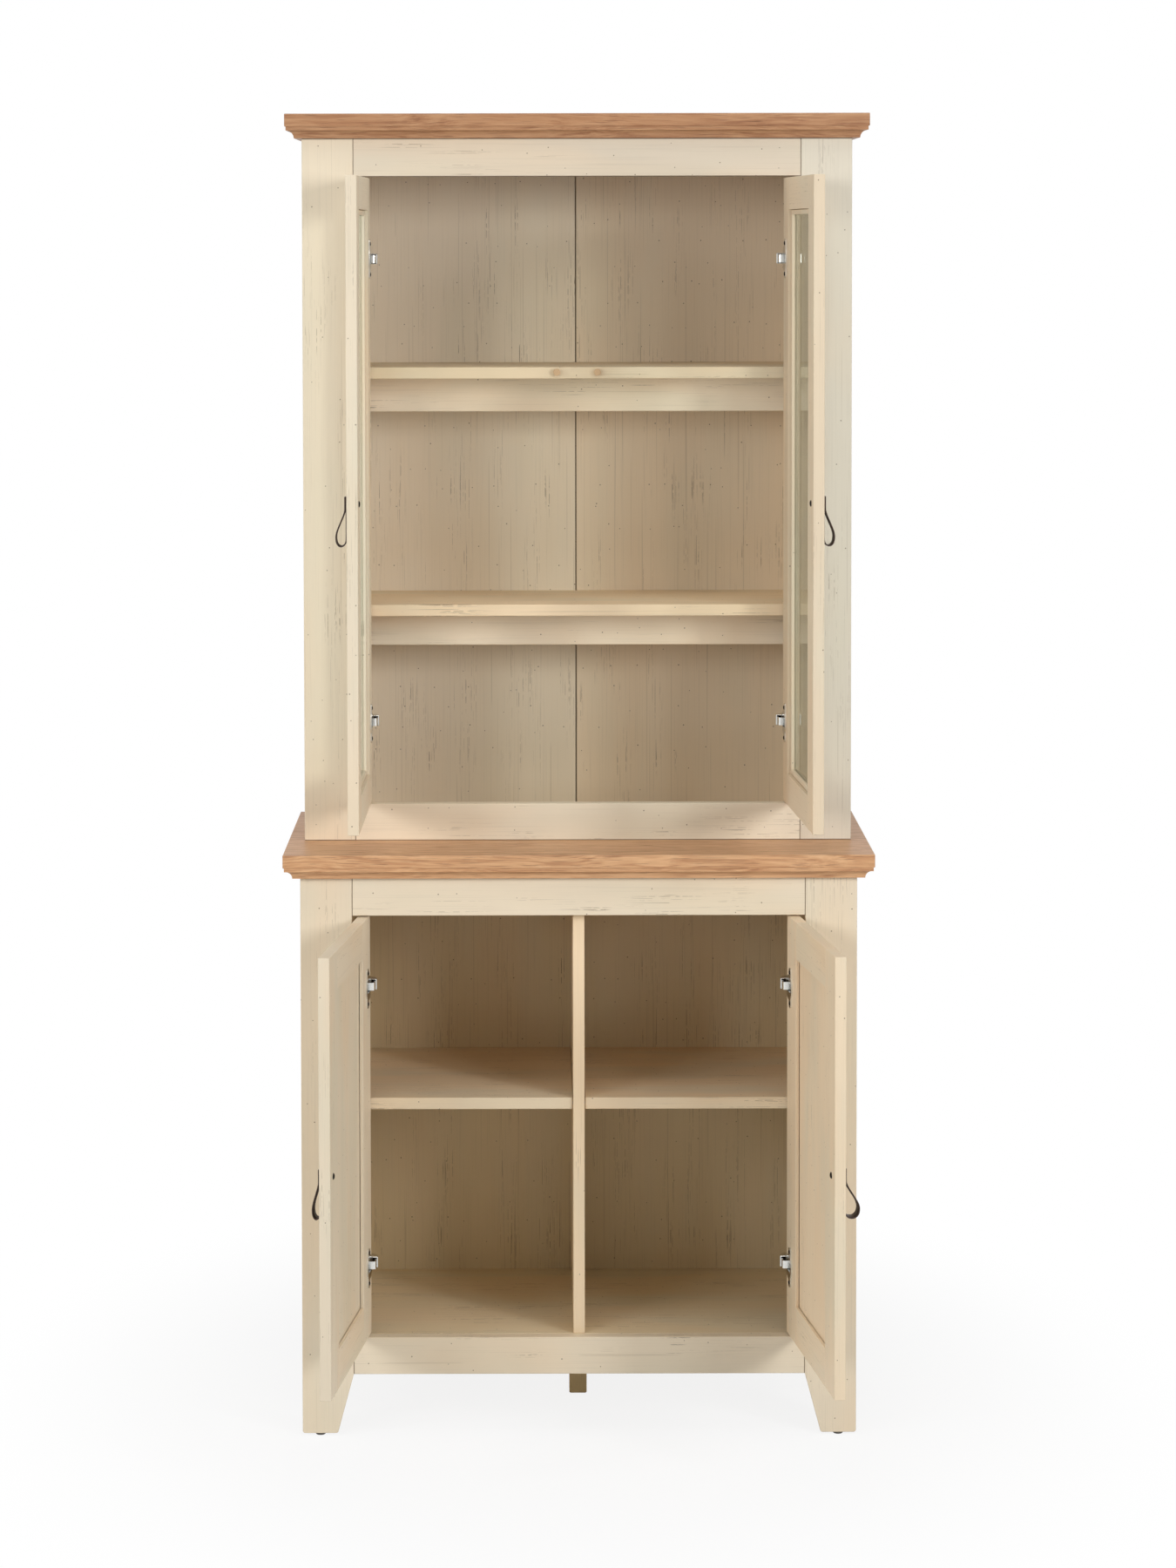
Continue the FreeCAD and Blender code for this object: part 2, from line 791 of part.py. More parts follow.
base_floor_bottom = base.opening_bottom - shelf_thickness
save("base_floor", board(-half_inside, half_inside, base.inside, back_face,
                         base_floor_bottom, base.opening_bottom))
save("base_divider", divider())
save("base_back_panels", *back_panels(base, base_floor_bottom))
hutch_floor = board(-half_inside, half_inside, hutch.inside, back_face,
                    hutch.sill, hutch.sill + shelf_thickness)
save("hutch_floor", drilled(hutch_floor, bolt_holes()))
save("hutch_back_panels", *back_panels(hutch, hutch.sill))
save("back_battens", *(battens(base) + battens(hutch)))

save("hutch_shelf_lower", hutch_shelf(hutch_shelf_tops[0]))
save("hutch_shelf_upper", drilled(hutch_shelf(hutch_shelf_tops[1]), buffer_holes()))
save("hutch_shelf_rails", *[shelf_rail(top) for top in hutch_shelf_tops])
save("door_buffers", *buffers())

pins = []
for wall, out in ((half_inside, 1), (divider_thickness / 2, -1)):
    for pin in shelf_pins(wall, base_shelf_top - shelf_thickness, out):
        pins += [pin, mirrored(pin)]
save("shelf_pins", *pins)

save("centre_leg", centre_leg())
glides = [glide(place) for place in glide_places()]
save("foot_glides", *(glides + [mirrored(piece) for piece in glides]))
save("hutch_fixing_bolts", *[screw(bolt_radius, shelf_thickness + bolt_bite, bolt_head, bolt_head_height,
                                   place, z_axis) for place in bolt_places()])

blocks = []
arms = []
for cabinet in (base, hutch):
    for level in cabinet.hinge_levels:
        for side in sides.values():
            blocks.append(on_side(side, hinge_block(cabinet, level)))
            hardware = [mounting_plate(cabinet, level), hinge_arm(cabinet, level)]
            hardware += plate_screws(cabinet, level)
            arms += [on_side(side, piece) for piece in hardware]
save("hinge_blocks", *blocks)
save("hinge_arms", *arms)

# Doors

for cabinet in (base, hutch):
    for side_name in sides:
        door = Door(cabinet, side_name)
        glazed = cabinet is hutch
        stiles, rail_pair = door_frame(door, glass_rabbet(door) if glazed else panel_groove(door))
        door.save("stiles", *stiles)
        door.save("rails", *rail_pair)
        if glazed:
            door.save("glass", glass_pane(door))
            door.save("beads", *glass_beads(door))
        else:
            door.save("panel", door_panel(door))
        hinges = []
        for level in cabinet.hinge_levels:
            hinges += [hinge_cup(door, level)] + cup_screws(door, level)
        door.save("hinges", *hinges)
        door.save("handle", strap(door))
        door.save("handle_screw", handle_screw(door))
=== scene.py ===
import json
import math

import bmesh
import bpy
from mathutils import Matrix, Vector

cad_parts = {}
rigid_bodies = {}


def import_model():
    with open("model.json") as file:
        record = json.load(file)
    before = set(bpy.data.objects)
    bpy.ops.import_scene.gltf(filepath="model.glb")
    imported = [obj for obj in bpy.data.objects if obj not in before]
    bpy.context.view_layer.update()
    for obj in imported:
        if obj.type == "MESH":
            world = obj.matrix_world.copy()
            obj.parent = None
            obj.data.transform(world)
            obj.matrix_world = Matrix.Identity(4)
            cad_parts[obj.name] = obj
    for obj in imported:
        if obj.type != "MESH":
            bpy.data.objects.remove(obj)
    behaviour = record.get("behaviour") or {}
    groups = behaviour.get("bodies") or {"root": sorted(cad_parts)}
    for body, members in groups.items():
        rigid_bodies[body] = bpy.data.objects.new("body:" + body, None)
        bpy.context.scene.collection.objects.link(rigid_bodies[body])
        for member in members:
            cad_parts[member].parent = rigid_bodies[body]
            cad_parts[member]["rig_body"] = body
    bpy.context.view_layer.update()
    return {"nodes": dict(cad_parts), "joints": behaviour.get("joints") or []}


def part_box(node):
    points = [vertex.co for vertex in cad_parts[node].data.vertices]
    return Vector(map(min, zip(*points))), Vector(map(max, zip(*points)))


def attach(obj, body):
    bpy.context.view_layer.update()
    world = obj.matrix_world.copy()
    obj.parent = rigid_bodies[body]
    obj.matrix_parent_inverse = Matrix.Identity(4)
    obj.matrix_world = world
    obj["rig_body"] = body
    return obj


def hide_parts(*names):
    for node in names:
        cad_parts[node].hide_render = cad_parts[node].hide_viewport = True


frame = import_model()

# Looks of a display cabinet: cream painted boards, oak tops, glazed upper doors, leather strap
# handles and concealed hinges. Metres, in the same frame as the cabinet's solids.

scene = bpy.context.scene
nodes = frame["nodes"]


def srgb(red, green, blue):
    """A colour as a picture shows it, from 0 to 255, for a shader's socket."""
    def linear(value):
        value /= 255
        return value / 12.92 if value <= 0.04045 else ((value + 0.055) / 1.055) ** 2.4
    return (linear(red), linear(green), linear(blue), 1.0)


class Value:
    """An output in a material's node tree, which can be used in sums and comparisons."""

    def __init__(self, finish, socket):
        self.finish = finish
        self.socket = socket

    def _math(self, operation, *values):
        return self.finish.node("ShaderNodeMath", {"operation": operation}, values)

    def __add__(self, other):
        return self._math("ADD", self, other)

    def __sub__(self, other):
        return self._math("SUBTRACT", self, other)

    def __rsub__(self, other):
        return self._math("SUBTRACT", other, self)

    def __mul__(self, other):
        return self._math("MULTIPLY", self, other)

    def __truediv__(self, other):
        return self._math("DIVIDE", self, other)

    def __gt__(self, other):
        return self._math("GREATER_THAN", self, other)

    def __lt__(self, other):
        return self._math("LESS_THAN", self, other)

    def __pow__(self, other):
        return self._math("POWER", self, other)

    def __abs__(self):
        return self._math("ABSOLUTE", self)

    def at_most(self, other):
        return self._math("MINIMUM", self, other)

    __radd__ = __add__
    __rmul__ = __mul__


class Finish:
    """A material built up node by node."""

    def __init__(self, name, world=None):
        self.owner = world or bpy.data.materials.new(name)
        self.owner.use_nodes = True
        self.tree = self.owner.node_tree
        self.tree.nodes.clear()

    def node(self, kind, settings=None, values=(), output=0):
        made = self.tree.nodes.new(kind)
        for name, setting in (settings or {}).items():
            if name == "stops":
                ramp = made.color_ramp
                while len(ramp.elements) < len(setting):
                    ramp.elements.new(1.0)
                for element, (place, colour) in zip(ramp.elements, setting):
                    element.position = place
                    element.color = colour
            else:
                setattr(made, name, setting)
        pairs = values.items() if isinstance(values, dict) else enumerate(values)
        for place, value in pairs:
            socket = made.inputs[place]
            if isinstance(value, Value):
                self.tree.links.new(value.socket, socket)
            else:
                socket.default_value = value
        return Value(self, made.outputs[output])

    def mix(self, share, first, second):
        return self.node("ShaderNodeMix", {"data_type": "RGBA"}, {0: share, 6: first, 7: second}, 2)

    def dim(self, share, colour, level):
        """The colour, taken by the share to this level of itself, in one number or three."""
        levels = level if isinstance(level, tuple) else (level, level, level)
        return self.node("ShaderNodeMix", {"data_type": "RGBA", "blend_type": "MULTIPLY"},
                         {0: share, 6: colour, 7: (*levels, 1.0)}, 2)

    def step(self, value, low, high):
        """0 below low, 1 above high and smooth between."""
        return self.node("ShaderNodeMapRange", {"interpolation_type": "SMOOTHSTEP"},
                         (value, low, high, 0.0, 1.0))

    def place(self, turn=0.0, shift=(0.0, 0.0, 0.0)):
        """Object coordinates, turned about the vertical and shifted."""
        point = self.node("ShaderNodeTexCoord", None, (), "Object")
        return self.node("ShaderNodeMapping", None, {"Vector": point, "Location": shift,
                                                     "Rotation": (0.0, 0.0, turn)})

    def split(self, vector):
        parts = self.node("ShaderNodeSeparateXYZ", None, (vector,))
        return [Value(self, parts.socket.node.outputs[axis]) for axis in "XYZ"]

    def join(self, x, y, z):
        return self.node("ShaderNodeCombineXYZ", None, (x, y, z))

    def noise(self, vector, scale=1.0, detail=2.0, roughness=0.5):
        return self.node("ShaderNodeTexNoise", None, {
            "Vector": vector, "Scale": scale, "Detail": detail, "Roughness": roughness}, "Fac")

    def bump(self, height, strength, distance):
        return self.node("ShaderNodeBump", None, {
            "Height": height, "Strength": strength, "Distance": distance})

    def surface(self, **sockets):
        """The one shader that faces the light, wired to the material's output."""
        names = {name.replace("_", " "): value for name, value in sockets.items()}
        return self.done(self.node("ShaderNodeBsdfPrincipled", None, names))

    def done(self, shader):
        kind = "World" if isinstance(self.owner, bpy.types.World) else "Material"
        output = self.tree.nodes.new("ShaderNodeOutput" + kind)
        self.tree.links.new(shader.socket, output.inputs["Surface"])
        return self.owner


# Tones of paint, wood, metal and the rest, as a picture shows them, from 0 to 255

cream = (229, 215, 191)
# A warmer, darker cream for the boards inside the cabinet: painted warm shade
inner_shade_cream = (228, 209, 175)
# Darker or lighter cream for single doors, set to how lit each shows: painted light and shade
door_light_and_shade_creams = {"hutch_right_door": (221, 203, 176), "base_right_door": (234, 214, 184)}
shelf_cream = (240, 217, 183)
# Lighter cream on the hutch's shelf rails, lifting them out of the shelves' shadow: painted light
shelf_rail_painted_light_cream = (248, 233, 209)
# Warm brownish cream on the centre leg, which stands in shadow: painted shade
leg_shade_cream = (238, 211, 160)
# The hutch back's second tone, warmer and darker past the seam: painted shade
hutch_back_cream_and_shade = ((235, 221, 199), (233, 214, 188))
# Warmer, darker cream on the base's back panels: painted warm shade
base_back_shade_cream = (225, 207, 171)
# Face frame pieces made darker or lighter to how lit they show, the top rail and right stile darker, the
# bottom rail lighter: painted light and shade
frame_light_and_shade_creams = {"hutch_top_rail": (217, 204, 184), "hutch_stile_right": (220, 212, 195),
                "hutch_bottom_rail": (236, 225, 203)}
pink_patch = (232, 206, 172)
green_patch = (216, 209, 186)
crack_brown = (112, 92, 66)
long_crack_brown = (128, 108, 80)
pin_hole_brown = (96, 74, 52)
# Thin dark lines at joints: partly the joints' own cracks, partly painted shade where boards meet
joint_and_shade_brown = (88, 70, 50)
oak_rings = ((0.30, (142, 96, 65)), (0.42, (168, 120, 84)), (0.55, (185, 139, 101)), (0.74, (199, 155, 116)))
oak_broad = (180, 130, 90)
oak_pore = (108, 70, 46)
oak_fleck = (214, 176, 138)
leather_dark = (52, 33, 22)
leather_rubbed = (84, 54, 36)

paint_gloss = 1.45
leather_gloss = 1.5


def grain_axes(finish, grain, turn, seed):
    """Distances along and across a board's grain, for a board that runs along X, Y or Z."""
    x, y, z = finish.split(finish.place(turn, (seed * 0.73, seed * 1.31, seed * 2.17)))
    return {"X": (x, y, z), "Y": (y, x, z), "Z": (z, x, y)}[grain]


def stretched(finish, axes, along, across, detail=2.0, roughness=0.5):
    """Noise drawn out along the grain, in cells per metre each way."""
    place = finish.join(axes[0] * along, axes[1] * across, axes[2] * across)
    return finish.noise(place, 1.0, detail, roughness)


def painted_board(name, grain, turn=0.0, seed=0.0, tone=cream, wear=1.0, mottle=0.42, beyond=None,
                  joints=()):
    """Cream paint on open-grained boards: faint streaks, hair-fine broken grain lines and pin holes.

    Where beyond gives a seam and a tone, the boards past the seam have that tone. At each joint, an
    axis from 0 to 2 and a place on it, a thin dark line is painted where the next board meets it:
    partly the joint's own dark crack, partly painted shade where the boards meet."""
    finish = Finish(name)
    axes = grain_axes(finish, grain, turn, seed)
    cloud = stretched(finish, axes, 2.2, 6.0)
    pink = stretched(finish, axes, 2.6, 9.0)
    green = stretched(finish, (axes[0] + 3.0, axes[1], axes[2]), 3.2, 11.0)
    streak = stretched(finish, axes, 5.0, 480.0, 3.0, 0.6)
    colour = srgb(*tone)
    if beyond:
        seam, far_tone = beyond
        colour = finish.mix(finish.split(finish.place())[0] > seam, colour, srgb(*far_tone))
    colour = finish.dim(finish.step(cloud, 0.35, 0.75) * 0.40, colour, 0.88)
    colour = finish.mix(finish.step(pink, 0.44, 0.66) * mottle, colour, srgb(*pink_patch))
    colour = finish.mix(finish.step(green, 0.46, 0.68) * mottle, colour, srgb(*green_patch))
    colour = finish.dim(finish.step(streak, 0.50, 0.80) * 0.30, colour, 0.72)
    hair = finish.step(stretched(finish, axes, 9.0, 1500.0, 0.0), 0.70, 0.76)
    broken = finish.step(stretched(finish, axes, 90.0, 300.0, 1.0), 0.38, 0.50)
    patch = finish.step(stretched(finish, axes, 3.4, 26.0), 0.50, 0.62)
    cracks = hair * broken * patch
    long_line = finish.step(stretched(finish, axes, 3.0, 420.0, 0.0), 0.765, 0.785)
    colour = finish.mix((cracks * wear).at_most(1.0), colour, srgb(*crack_brown))
    colour = finish.mix(long_line * (0.16 * wear), colour, srgb(*long_crack_brown))
    cells = finish.node("ShaderNodeTexVoronoi", {"voronoi_dimensions": "2D"},
                        {"Vector": finish.join(axes[0], axes[1] + axes[2], 0.0), "Scale": 30.0})
    kept = finish.split(Value(finish, cells.socket.node.outputs["Color"]))[0]
    pin = (1.0 - finish.step(cells / kept, 0.018, 0.044)) * (kept > 0.6)
    colour = finish.mix(pin * 0.80, colour, srgb(*pin_hole_brown))
    # A thin dark line at each joint: partly the joint's own crack, partly painted contact shade
    if joints:
        here = finish.split(finish.place())
        for axis, place in joints:
            line = 1.0 - finish.step(abs(here[axis] - place), 0.0006, 0.0017)
            colour = finish.mix(line * 0.85, colour, srgb(*joint_and_shade_brown))
    hollow = 1.0 - (cracks * 0.7 + long_line * 0.5 + pin + finish.step(streak, 0.4, 0.9) * 0.10)
    return finish.surface(Base_Color=colour, Roughness=0.46 + streak * 0.16,
                          Normal=finish.bump(hollow, 0.30, 0.0006), IOR=paint_gloss)


def oak_finish(finish, axes, shade):
    """Oiled oak along the given grain: drawn-out growth rings, dark pores and a few flecks."""
    wander = stretched(finish, axes, 3.0, 9.0)
    across = [axis * 210.0 + wander * 12.0 for axis in axes[1:]]
    rings = finish.noise(finish.join(axes[0] * 4.5, *across), 1.0, 4.0, 0.66)
    broad = stretched(finish, axes, 1.6, 10.0)
    pores = finish.step(stretched(finish, axes, 22.0, 760.0, 1.0), 0.58, 0.70)
    flecks = finish.step(stretched(finish, axes, 50.0, 190.0), 0.62, 0.74)
    stops = [(place, srgb(*tone)) for place, tone in oak_rings]
    colour = finish.node("ShaderNodeValToRGB", {"stops": stops}, (rings,))
    colour = finish.mix(finish.step(broad, 0.35, 0.7) * 0.3, colour, srgb(*oak_broad))
    colour = finish.mix(pores * 0.55, colour, srgb(*oak_pore))
    colour = finish.mix(flecks * 0.10, colour, srgb(*oak_fleck))
    # The level darkens or lightens the whole board: partly its own tone, partly painted light and shade
    colour = finish.dim(1.0, colour, shade)
    return finish.surface(Base_Color=colour, Roughness=0.42 + pores * 0.2,
                          Normal=finish.bump(1.0 - pores, 0.3, 0.0005), IOR=paint_gloss)


def oak(name, grain, seed, shade):
    finish = Finish(name)
    return oak_finish(finish, grain_axes(finish, grain, 0.0, seed), shade)


def oak_moulding(name, corner, front, shade):
    """Oak whose grain follows the front length and turns at the mitres on to the returns."""
    finish = Finish(name)
    x, y, z = finish.split(finish.place())
    side = (corner - abs(x)) < (y - front)
    along = finish.mix(side, finish.join(x, z, y), finish.join(y, z, x))
    return oak_finish(finish, finish.split(along), shade)


def window_glass(name):
    """Clear glass that mirrors more the flatter it is seen."""
    finish = Finish(name)
    edge_on = finish.node("ShaderNodeLayerWeight", None, {"Blend": 0.5}, "Facing")
    clear = finish.node("ShaderNodeBsdfTransparent", None, {"Color": (0.885, 0.90, 0.872, 1.0)})
    mirror = finish.node("ShaderNodeBsdfPrincipled", None, {
        "Base Color": (0.66, 0.70, 0.63, 1.0), "Metallic": 1.0, "Roughness": 0.02})
    share = edge_on ** 5.0 * 0.96 + 0.04
    return finish.done(finish.node("ShaderNodeMixShader", None, (share, clear, mirror)))


def darker(tone, level):
    return srgb(*[channel * level for channel in tone])


def bright_metal(name, tone, roughness):
    finish = Finish(name)
    wear = finish.noise(finish.place(), 260.0, 3.0)
    return finish.surface(Base_Color=finish.mix(wear * 0.3, srgb(*tone), darker(tone, 0.82)),
                          Metallic=1.0, Roughness=roughness + wear * 0.12)


def moulded_plastic(name, tone):
    finish = Finish(name)
    speckle = finish.noise(finish.place(), 1400.0)
    return finish.surface(Base_Color=finish.mix(speckle * 0.3, srgb(*tone), darker(tone, 0.8)),
                          Roughness=0.5 + speckle * 0.1, Normal=finish.bump(speckle, 0.15, 0.0002))


def leather(name):
    """Dark brown waxed leather, rubbed lighter in places, with a fine grain."""
    finish = Finish(name)
    point = finish.place()
    pebble = finish.node("ShaderNodeTexVoronoi", {"feature": "SMOOTH_F1"},
                         {"Vector": point, "Scale": 1500.0})
    rubbed = finish.noise(point, 90.0, 3.0)
    colour = finish.mix(finish.step(rubbed, 0.45, 0.75) * 0.5, srgb(*leather_dark), srgb(*leather_rubbed))
    return finish.surface(Base_Color=colour, Roughness=0.42 + rubbed * 0.2,
                          Normal=finish.bump(pebble, 0.4, 0.0002), IOR=leather_gloss)


# Doors

class Door:
    """One door, as its joint describes it: which side it hangs on and how far it stands open."""

    def __init__(self, joint):
        self.body = joint["child"]
        self.side = joint["axis"][2]
        self.pivot = Vector(joint["pos_m"])
        self.turn = math.radians(-joint["range_deg"][0]) * self.side
        turned = Matrix.Rotation(self.turn, 4, "Z")
        away = Matrix.Translation(self.pivot)
        mirror = Matrix.Diagonal((self.side, 1.0, 1.0, 1.0))
        self.from_closed = away @ turned @ away.inverted() @ mirror


doors = {joint["child"]: Door(joint) for joint in frame["joints"]}


# Finishes of the boards

glass = window_glass("window_glass")
nickel = bright_metal("nickel", (226, 226, 222), 0.16)
zinc = bright_metal("zinc", (200, 200, 198), 0.3)
# Near-black steel for the faces inside the hinge arms' hollow noses: painted shade
shadowed_steel = bright_metal("shadowed_steel", (46, 42, 40), 0.5)
strap_leather = leather("strap_leather")
glide_plastic = moulded_plastic("glide_plastic", (84, 80, 74))
buffer_plastic = moulded_plastic("buffer_plastic", (204, 170, 130))
door_wear = 0.6
back_paint = {"wear": 1.2, "mottle": 0.2}
frame_mottle = 0.26


def board_paints(prefix, grain, seeds, tone=cream):
    return [painted_board(prefix + str(seed), grain, seed=seed, tone=tone) for seed in seeds]


def door_paints(prefix, grain, first_seed):
    # Some doors take a darker or lighter cream: painted light and shade
    return {body: painted_board(prefix + body, grain, -door.turn, first_seed + place,
                                door_light_and_shade_creams.get(body, cream), door_wear)
            for place, (body, door) in enumerate(sorted(doors.items()))}


upright = board_paints("painted_upright_", "Z", (1, 4, 7))
level = board_paints("painted_level_", "X", (2, 5, 8))
# Boards inside the cabinet take the warmer, darker cream: painted warm shade
inner_upright = board_paints("inner_upright_", "Z", (3, 6), inner_shade_cream)
inner_level = board_paints("inner_level_", "X", (12, 15), inner_shade_cream)
level_by_door = door_paints("painted_level_", "X", 11)
upright_by_door = door_paints("painted_upright_", "Z", 21)
# Oak levels, partly the boards' own tone and partly painted light and shade: the base's top lighter, the
# crown darker
oak_tone_and_shade_levels = {"base": (1.33, 1.45, 1.50), "hutch": 0.90}
oak_top = {"base": oak("oak_base_top", "X", 3.0, oak_tone_and_shade_levels["base"]),
           "hutch": oak("oak_hutch_top", "X", 9.0, oak_tone_and_shade_levels["hutch"])}
level_pieces = ("rail", "floor", "shelf", "batten")
inner_pieces = ("floor", "shelf_l", "shelf_r", "shelf_u", "base_side", "divider")
frame_pieces = ("top_rail", "bottom_rail", "stile_left", "stile_right")
# Single pieces with their own cream; the centre leg's is painted shade
piece_creams = {"base_shelf_left": shelf_cream, "base_shelf_right": shelf_cream,
              "hutch_shelf_lower": shelf_cream, "base_divider": shelf_cream, "centre_leg": leg_shade_cream}
mouldings = {"hutch": "hutch_crown_moulding", "base": "base_top_moulding"}
hardware = {"hinge_arms": nickel, "hutch_fixing_bolts": zinc, "shelf_pins": zinc,
            "foot_glides": glide_plastic, "door_buffers": buffer_plastic}


def frame_paint(name, box_name, is_rail, seed):
    """Paint of a face frame's piece, with thin dark lines: painted shade under the oak and at the hutch's
    foot, and the joints at a rail's ends.
    """
    low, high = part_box(name)
    joints = [(2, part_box(mouldings[box_name])[0].z)]
    if box_name == "hutch":
        joints.append((2, low.z))
    if is_rail:
        joints += [(0, low.x), (0, high.x)]
    # Some frame pieces take a darker or lighter cream: painted light and shade
    return painted_board(name, "X" if is_rail else "Z", seed=seed, tone=frame_light_and_shade_creams.get(name, cream),
                         mottle=frame_mottle, joints=joints)


def finish_for(name):
    """The finish of a solid, from what kind of piece it is."""
    body = nodes[name]["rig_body"]
    if body != "root":
        kind = name[len(body) + 1:]
        return {"glass": glass, "hinges": nickel, "handle": strap_leather, "handle_screw": nickel,
                "rails": level_by_door[body]}.get(kind, upright_by_door[body])
    if name in hardware:
        return hardware[name]
    box_name, _, piece = name.partition("_")
    if piece == "top_board":
        return oak_top[box_name]
    low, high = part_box(name)
    if "moulding" in name:
        return oak_moulding("oak_" + name, high.x, low.y, oak_tone_and_shade_levels[box_name])
    if name == "hutch_back_panels":
        seam = (low.x + high.x) / 2
        # The panels past the seam take the warmer, darker cream: painted shade
        near, far = hutch_back_cream_and_shade
        return painted_board(name, "Z", seed=31.0, tone=near, beyond=(seam, far), joints=[(0, seam)],
                             **back_paint)
    if name == "base_back_panels":
        # The base's back takes a warmer, darker cream: painted shade
        return painted_board(name, "Z", seed=37.0, tone=base_back_shade_cream, **back_paint)
    # The shelf rails take a lighter cream: painted light
    if name == "hutch_shelf_rails":
        return painted_board(name, "X", seed=43.0, tone=shelf_rail_painted_light_cream)
    place = sorted(nodes).index(name)
    if piece in frame_pieces:
        return frame_paint(name, box_name, "rail" in piece, place)
    flat = any(piece in name for piece in level_pieces)
    if name in piece_creams:
        return painted_board(name, "X" if flat else "Z", seed=place, tone=piece_creams[name])
    if any(piece in name for piece in inner_pieces):
        boards = inner_level if flat else inner_upright
    else:
        boards = level if flat else upright
    return boards[place % len(boards)]


for name, node in nodes.items():
    node.data.materials.clear()
    node.data.materials.append(finish_for(name))


# Leather strap handles

strap_width = 0.020
strap_thickness = 0.0018
strap_drop = 0.074
strap_gap = 0.0003
strap_ply_gap = 0.0002
strap_round = 0.00045
strap_depths = {"hutch_left_door": 0.0176, "hutch_right_door": 0.018,
                "base_left_door": 0.0135, "base_right_door": 0.0244}
strap_middles = {"hutch": (0.0255, -0.104, 1.4805), "base": (0.0255, -0.224, 0.4975)}


def smooth_line(points):
    """Points along a smooth curve that these control points shape."""
    curve = bpy.data.curves.new("line", "CURVE")
    curve.dimensions = "3D"
    spline = curve.splines.new("NURBS")
    spline.points.add(len(points) - 1)
    for point, place in zip(spline.points, points):
        point.co = (*place, 1.0)
    spline.order_u = 4
    spline.use_endpoint_u = True
    spline.resolution_u = 10
    holder = bpy.data.objects.new("line", curve)
    scene.collection.objects.link(holder)
    bpy.context.view_layer.update()
    mesh = bpy.data.meshes.new_from_object(holder)
    line = [vertex.co.copy() for vertex in mesh.vertices]
    bpy.data.objects.remove(holder)
    bpy.data.curves.remove(curve)
    bpy.data.meshes.remove(mesh)
    return line


def strap_mesh(depth):
    """The folded strap: X across it, Y towards the door, Z up from its top end.

    Its line runs down the front ply, round the loop's foot and up the ply on the door."""
    back = strap_gap + strap_thickness / 2
    stacked = back + strap_thickness + strap_ply_gap
    front = depth - strap_thickness / 2
    low = -strap_drop + strap_thickness / 2
    middle = (front + back) / 2
    bulge = front - stacked
    shape = [(stacked, 0), (stacked, -0.010), (stacked, -0.017), (stacked + bulge * 0.02, -0.0225),
             (stacked + bulge * 0.30, -0.032), (stacked + bulge * 0.62, -0.042),
             (front - bulge * 0.06, -0.0525), (front + 0.0003, -0.060), (front - bulge * 0.05, low + 0.004),
             (middle + bulge * 0.18, low - 0.0012), (middle - bulge * 0.24, low - 0.0006),
             (back + bulge * 0.02, low + 0.005), (back, -0.060), (back, -0.046), (back, -0.030),
             (back, -0.014), (back, 0)]
    line = smooth_line([(0.0, -out, up) for out, up in shape])
    mesh = bmesh.new()
    half, edge = strap_width / 2, strap_round
    section = [(-half + edge, 1), (half - edge, 1), (half - edge * 0.3, 0.6), (half, 0),
               (half - edge * 0.3, -0.6), (half - edge, -1), (-half + edge, -1), (-half + edge * 0.3, -0.6),
               (-half, 0), (-half + edge * 0.3, 0.6)]
    rings = []
    for place, point in enumerate(line):
        ahead = line[min(place + 1, len(line) - 1)] - line[max(place - 1, 0)]
        normal = Vector((0.0, -ahead.z, ahead.y)).normalized()
        rings.append([mesh.verts.new(point + Vector((across, 0.0, 0.0))
                                     + normal * (lift * strap_thickness / 2)) for across, lift in section])
    for near, far in zip(rings, rings[1:]):
        for place in range(len(section)):
            following = (place + 1) % len(section)
            mesh.faces.new((near[place], near[following], far[following], far[place]))
    mesh.faces.new(rings[0])
    mesh.faces.new(rings[-1])
    bmesh.ops.recalc_face_normals(mesh, faces=mesh.faces)
    return mesh


def piece_from(mesh, name, body, material, instead=(), smooth=True):
    """A finished mesh as a piece that rides on a body."""
    data = bpy.data.meshes.new(name)
    mesh.to_mesh(data)
    mesh.free()
    for face in data.polygons:
        face.use_smooth = smooth
    piece = bpy.data.objects.new(name, data)
    scene.collection.objects.link(piece)
    data.materials.append(material)
    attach(piece, body)
    for node in instead:
        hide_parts(node)
    return piece


for body, door in doors.items():
    mesh = strap_mesh(strap_depths[body])
    mesh.transform(door.from_closed @ Matrix.Translation(strap_middles[body.split("_")[0]]))
    bmesh.ops.recalc_face_normals(mesh, faces=mesh.faces)
    piece_from(mesh, body + "_strap", body, strap_leather, (body + "_handle",))


# Cross-recessed screws

screw_kinds = {"wood": {"Head Radius": 0.0034, "Head Height": 0.0013, "Shank Radius": 0.00175,
                        "Shank Length": 0.011, "Recess Length": 0.0036, "Recess Width": 0.0008},
               "handle": {"Head Radius": 0.005, "Head Height": 0.0022, "Shank Radius": 0.002,
                          "Shank Length": 0.0204, "Recess Length": 0.0052, "Recess Width": 0.0011}}
screw_turn_seed = 7
longest_screw = 0.03
arm_behind_link = 0.0199
arm_mouth_depth = 0.007
arm_half_height = 0.0085
arm_sheet = 0.0014
link_half_height = 0.006
slack = 0.0001


